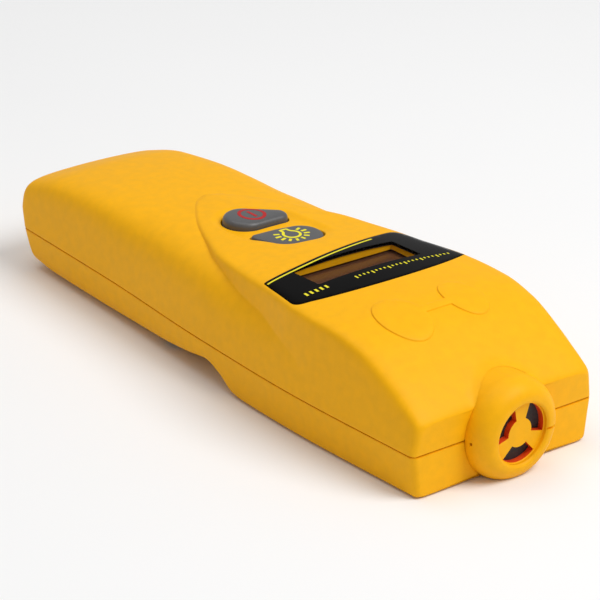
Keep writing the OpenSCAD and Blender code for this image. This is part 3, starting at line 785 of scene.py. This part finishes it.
def battery_cover():
    """The sliding cover: a piece of the lower skin with rails, grip grooves and an arrow."""
    o = shell("battery_cover_visual", -1)
    combine(o, block("cover_block", -COVER_HW, COVER_HW, -BEYOND, COVER_FRONT, -1, COVER_T), "INTERSECT")
    rail_hw, rail_front = COVER_HW + COVER_RAIL, COVER_FRONT - COVER_LIP
    combine(o, block("cover_rails", -rail_hw, rail_hw, -73, rail_front, 1.5, COVER_T - 0.01), "UNION")
    for i in range(5):
        y = COVER_FRONT - 9.6 + 1.8 * i
        grip = rounded([(-8, y - 0.9, 0.35), (8, y - 0.9, 0.35), (8, y, 0.35), (-8, y, 0.35)])
        cut(o, prism("grip", densify(grip, 1.0), [(-0.25, level(1.25)), (-0.1, level(1.05)), (0, level(0.8)),
                                                  (0, level(-1.5))], step=3))
    tip, neck, tail = COVER_FRONT - 19.0, COVER_FRONT - 15.4, COVER_FRONT - 12.2
    arrow = [(0.0, tip), (3.2, neck), (1.3, neck), (1.3, tail), (-1.3, tail), (-1.3, neck), (-3.2, neck)]
    cut(o, prism("arrow", densify(np.array(arrow), 0.8), [(0, level(0.9)), (0, level(-2))], step=3))
    place(o, "battery_cover", "case_yellow", [YELLOW], "battery_cover")


# ---------------------------------------------------------------- nose

def grille_slot(turn):
    """One of the three openings of the grille, as a rod along Y."""
    half = math.radians(45)
    arc_out = circle(0, 0, SLOT_R, 26, -half + 0.07, half - 0.07)
    arc_in = circle(0, 0, HUB_R, 16, half - 0.14, -half + 0.14)
    points = np.vstack([arc_out, arc_in])
    c, s = math.cos(turn), math.sin(turn)
    points = points @ np.array([[c, s], [-s, c]])
    n = len(points)
    verts = [(x, y, NOSE_Z - z) for y in (NOSE_FRONT - 4.5, NOSE_FRONT - 0.6) for x, z in points]
    faces = [*strip(n, 0, n), tuple(range(n)), tuple(range(n, 2 * n))]
    return build("grille_slot", verts, faces)


def sensor_cap():
    """The nose cap: a domed ring with a sunk grille, a tube behind it and a hood that runs into the head."""
    seat, disc_back, disc_front = CASE_FRONT - 0.1, NOSE_FRONT - 2.9, NOSE_FRONT - 1.4
    dome = 5.4
    tube_back = 60
    profile = [(0, disc_back), (TUBE_R, disc_back), (TUBE_R, tube_back), (TUBE_OUTER_R, tube_back),
               (TUBE_OUTER_R, seat), (NOSE_R - 0.35, seat), (NOSE_R - 0.08, seat + 0.12),
               (NOSE_R, seat + 0.45)]
    profile += [(NOSE_R - dome * 0.75 * (1 - math.cos(t)), NOSE_FRONT - dome + dome * math.sin(t))
                for t in np.radians(np.arange(0, 84, 5))]
    profile += [(8.2, NOSE_FRONT), (7.95, NOSE_FRONT - 0.04), (7.7, NOSE_FRONT - 0.18),
                (GRILLE_R, NOSE_FRONT - 0.5), (GRILLE_R, disc_front + 0.15), (GRILLE_R - 0.15, disc_front),
                (0, disc_front)]
    o = revolve("sensor_cap_visual", profile, 144)
    hood = rod("hood", NOSE_R - 0.02, 63, seat + 0.6, 144)
    cut(hood, block("below", -20, 20, 50, BEYOND, -20, NOSE_Z), rod("hood_bore", TUBE_R, 50, BEYOND, 96))
    combine(o, hood, "UNION")
    for turn in np.radians([90, 210, 330]):
        cut(o, grille_slot(turn))
    pinhole = revolve("pinhole", [(0, -1), (0.42, -1), (0.42, 1), (0, 1)], 24)
    pinhole.data.transform(Matrix.Translation((0, 0, -NOSE_Z)))
    pinhole.data.transform(Matrix.Rotation(math.radians(90), 4, "Z"))
    pinhole.data.transform(Matrix.Translation((NOSE_R - 0.3, NOSE_FRONT - 4.3, PARTING)))
    cut(o, pinhole)
    cut(o, block("notch", -10.0, -7.2, NOSE_FRONT - 0.55, NOSE_FRONT + 1, PARTING - 0.3, PARTING + 0.3))
    cut(o, block("under", -20, 20, 50, BEYOND, -20, 0))
    place(o, "body", "sensor_cap", [YELLOW, SLOT_PAINTED_SHADE], "sensor_cap", smooth=35)
    # The slot walls inside the grille take the deep orange: painted shade in the openings, not a different
    # plastic.
    for face in o.data.polygons:
        x, y, z = face.center / MM
        in_disc = disc_back < y < disc_front and math.hypot(x, z - NOSE_Z) < SLOT_R + 0.1
        face.material_index = int(in_disc and abs(face.normal.y) < 0.3)


# ---------------------------------------------------------------- display and keys

def display_lens():
    """The glossy lens: black round a smoked window."""
    outline = offset(LENS_OUTLINE, -0.1)
    rings = [(-0.25, skin), (-0.08, lifted(skin, -0.05)), (0, lifted(skin, -0.16)),
             (0, lifted(skin, -LENS_T))]
    pieces = (("display_lens_visual", "DIFFERENCE", LENS_BLACK, ["display_lens"]),
              ("display_window_visual", "INTERSECT", SMOKE, []))
    for name, operation, finish, nodes in pieces:
        o = prism(name, outline, rings, step=1.0)
        window = prism("window_part", window_outline(), [(0, level(ABOVE)), (0, level(20))], step=50)
        combine(o, window, operation)
        place(o, "body", "lens_black", [finish], *nodes)


def key(name, outline, top, crown, roll, body, stem):
    """A rubber key with a crowned top, rolled edges, a flange that keeps it in, and a stem."""

    def face(x, y):
        """Height of the key's top, rolled down towards its edge."""
        d = np.maximum(-distance(np.stack([np.ravel(x), np.ravel(y)], 1), outline), 0)
        return top - crown * np.exp(-d / 1.6).reshape(np.shape(x))

    rings = [(-roll * (1 - math.sin(t)), lifted(face, -roll * (1 - math.cos(t))))
             for t in np.radians([0, 18, 36, 54, 72, 90])]
    rings += [(0, level(KEY_FLANGE)), (0.7, level(KEY_FLANGE)), (0.7, level(KEY_BOTTOM))]
    o = prism(name, outline, rings, step=0.7)
    merge(o, post(f"{name}_stem", *stem, 1.4, 24.6, KEY_BOTTOM + 0.1, 32))
    place(o, body, "rubber_grey", [KEY_GREY], body, smooth=40)
    return face


PRINT_LIFT, PRINT_SINK = 0.03, 0.05


def ribbon(name, path, width, height, closed=False):
    """A print as a thin strip of even width that follows a path over a surface."""
    p = np.array(path, float)
    after, before = np.roll(p, -1, 0), np.roll(p, 1, 0)
    if not closed:
        after[-1], before[0] = p[-1], p[0]
    d = after - before
    d /= np.linalg.norm(d, axis=1)[:, None]
    side = np.stack([-d[:, 1], d[:, 0]], 1) * width / 2
    verts = []
    for way, dz in ((1, PRINT_LIFT), (-1, PRINT_LIFT), (-1, -PRINT_SINK), (1, -PRINT_SINK)):
        q = p + way * side
        verts.append(np.column_stack([q, height(q[:, 0], q[:, 1]) + dz]))
    n = len(p)
    faces = []
    for k in range(4):
        a, b = k * n, ((k + 1) % 4) * n
        faces += [(a + i, a + (i + 1) % n, b + (i + 1) % n, b + i) for i in range(n if closed else n - 1)]
    if not closed:
        faces += [tuple(k * n for k in range(4)), tuple(k * n + n - 1 for k in range(4))]
    return build(name, np.vstack(verts), faces)


def line(p, q):
    return np.linspace(p, q, 8)


def prints(name, parts, finish, body, slot):
    """Several ribbons as one piece."""
    first, *rest = parts
    merge(first, *rest)
    first.name = name
    place(first, body, slot, [finish])


STRIPE = [(-12.5, 13.5), (0, 15.5), (12, 17.25), (23.7, 18.55)]


def lens_prints():
    """The stripe along the rear edge, and plain tick marks where a scale would be."""
    xs = np.linspace(STRIPE[0][0], STRIPE[-1][0], 50)
    stripe = ribbon("stripe", np.column_stack([xs, ease(STRIPE, xs)]), 0.48, skin)
    ticks = []
    for x in np.linspace(21.2, 15.2, 5):
        ticks.append(ribbon("tick", line((x, 28.7), (x + 0.12, 30.1)), 0.62, skin))
    for i, x in enumerate(np.linspace(6.6, -22.4, 24)):
        tall = 1.25 if i % 4 == 0 else 0.7
        ticks.append(ribbon("tick", line((x, 29.3), (x + 0.02, 29.3 + tall)), 0.42, skin))
    prints("lens_stripe", [stripe], PRINT_YELLOW, "body", "lens_black")
    prints("lens_ticks", ticks, PRINT_YELLOW, "body", "lens_black")


def key_prints(power_face, backlight_face):
    """A ring with a bar on the power key, and a shining lamp on the backlight key."""
    cx, cy, r = 1.6, -14.2, 3.1
    stroke = 0.85
    ring = ribbon("ring", circle(cx, cy, r, 60), stroke, power_face, closed=True)
    bar = ribbon("bar", line((cx, cy - 1.8), (cx, cy + 1.8)), stroke, power_face)
    prints("power_symbol", [ring, bar], PRINT_RED, "power_key", "rubber_grey")
    cx, cy = 0.2, -0.8
    bulb = [(cx + 2.15 * math.cos(t), cy + 1.95 * math.sin(t)) for t in np.radians(np.arange(-55, 236, 6))]
    bulb += [(cx - 0.95, cy - 2.3), (cx - 0.95, cy - 3.3), (cx + 0.95, cy - 3.3), (cx + 0.95, cy - 2.3)]
    parts = [ribbon("bulb", densify(np.array(bulb), 0.3), 0.66, backlight_face, closed=True)]
    for t in np.radians(np.arange(-32, 213, 27)):
        c, s = math.cos(t), math.sin(t)
        ray = line((cx + 3.1 * c, cy + 2.75 * s), (cx + 4.7 * c, cy + 3.9 * s))
        parts.append(ribbon("ray", ray, 0.68, backlight_face))
    prints("backlight_symbol", parts, PRINT_YELLOW, "backlight_key", "rubber_grey")


top_case()
bottom_case()
battery_cover()
sensor_cap()
display_lens()
lens_prints()
power_face = key("power_key_visual", POWER_OUTLINE, POWER_TOP, 0.35, 1.1, "power_key", (2.6, -12.6))
backlight_face = key("backlight_key_visual", BACKLIGHT_OUTLINE, BACKLIGHT_TOP, 0.2, 0.6, "backlight_key",
                     (-1.5, -2))
key_prints(power_face, backlight_face)

# ---------------------------------------------------------------- floor, light and camera

FLOOR = 3
floor_mesh = bpy.data.meshes.new("floor")
floor_mesh.from_pydata([(-FLOOR, -FLOOR, 0), (FLOOR, -FLOOR, 0), (FLOOR, FLOOR, 0), (-FLOOR, FLOOR, 0)], [],
                       [(0, 1, 2, 3)])
floor = bpy.data.objects.new("floor", floor_mesh)
bpy.context.scene.collection.objects.link(floor)
floor.location.z = cad_low.z - 0.00005
floor_mesh.materials.append(material("floor_white", (0.9, 0.9, 0.9, 1.0), 0.7, 0.004, 6.0))

target = Vector((0.0005, 0.00377, 0.01522))
camera_distance = 0.7185
azimuth, elevation, roll = math.radians(41.425), math.radians(24.044), math.radians(3.084)
back = Vector((math.sin(azimuth) * math.cos(elevation), math.cos(azimuth) * math.cos(elevation),
               math.sin(elevation)))
right = Vector((-math.cos(azimuth), math.sin(azimuth), 0))
up = back.cross(right)
camera_x = math.cos(roll) * right + math.sin(roll) * up
camera_y = -math.sin(roll) * right + math.cos(roll) * up
camera_data = bpy.data.cameras.new("camera")
camera_data.lens, camera_data.sensor_width = 180, 36
camera_data.clip_start, camera_data.clip_end = 0.05, 20
camera = bpy.data.objects.new("camera", camera_data)
bpy.context.scene.collection.objects.link(camera)
camera.matrix_world = Matrix.Translation(target + back * camera_distance) @ Matrix(
    (camera_x, camera_y, back)).transposed().to_4x4()
bpy.context.scene.camera = camera


def area_light(name, position, size, power):
    """A round soft light that points at the object's middle."""
    data = bpy.data.lights.new(name, "AREA")
    data.shape, data.size, data.energy = "DISK", size, power
    o = bpy.data.objects.new(name, data)
    bpy.context.scene.collection.objects.link(o)
    o.location = position
    o.rotation_euler = (Vector((0, 0, 0.01)) - Vector(position)).to_track_quat("-Z", "Y").to_euler()


area_light("key_light", (-0.35, 0.55, 0.95), 0.7, 8.2)
area_light("top_light", (0.1, -0.25, 1.1), 0.9, 3.2)

world = bpy.data.worlds.new("world")
world.use_nodes = True
world.node_tree.nodes["Background"].inputs["Color"].default_value = (1, 1, 1, 1)
world.node_tree.nodes["Background"].inputs["Strength"].default_value = 0.4
bpy.context.scene.world = world
bpy.context.scene.view_settings.view_transform = "Standard"
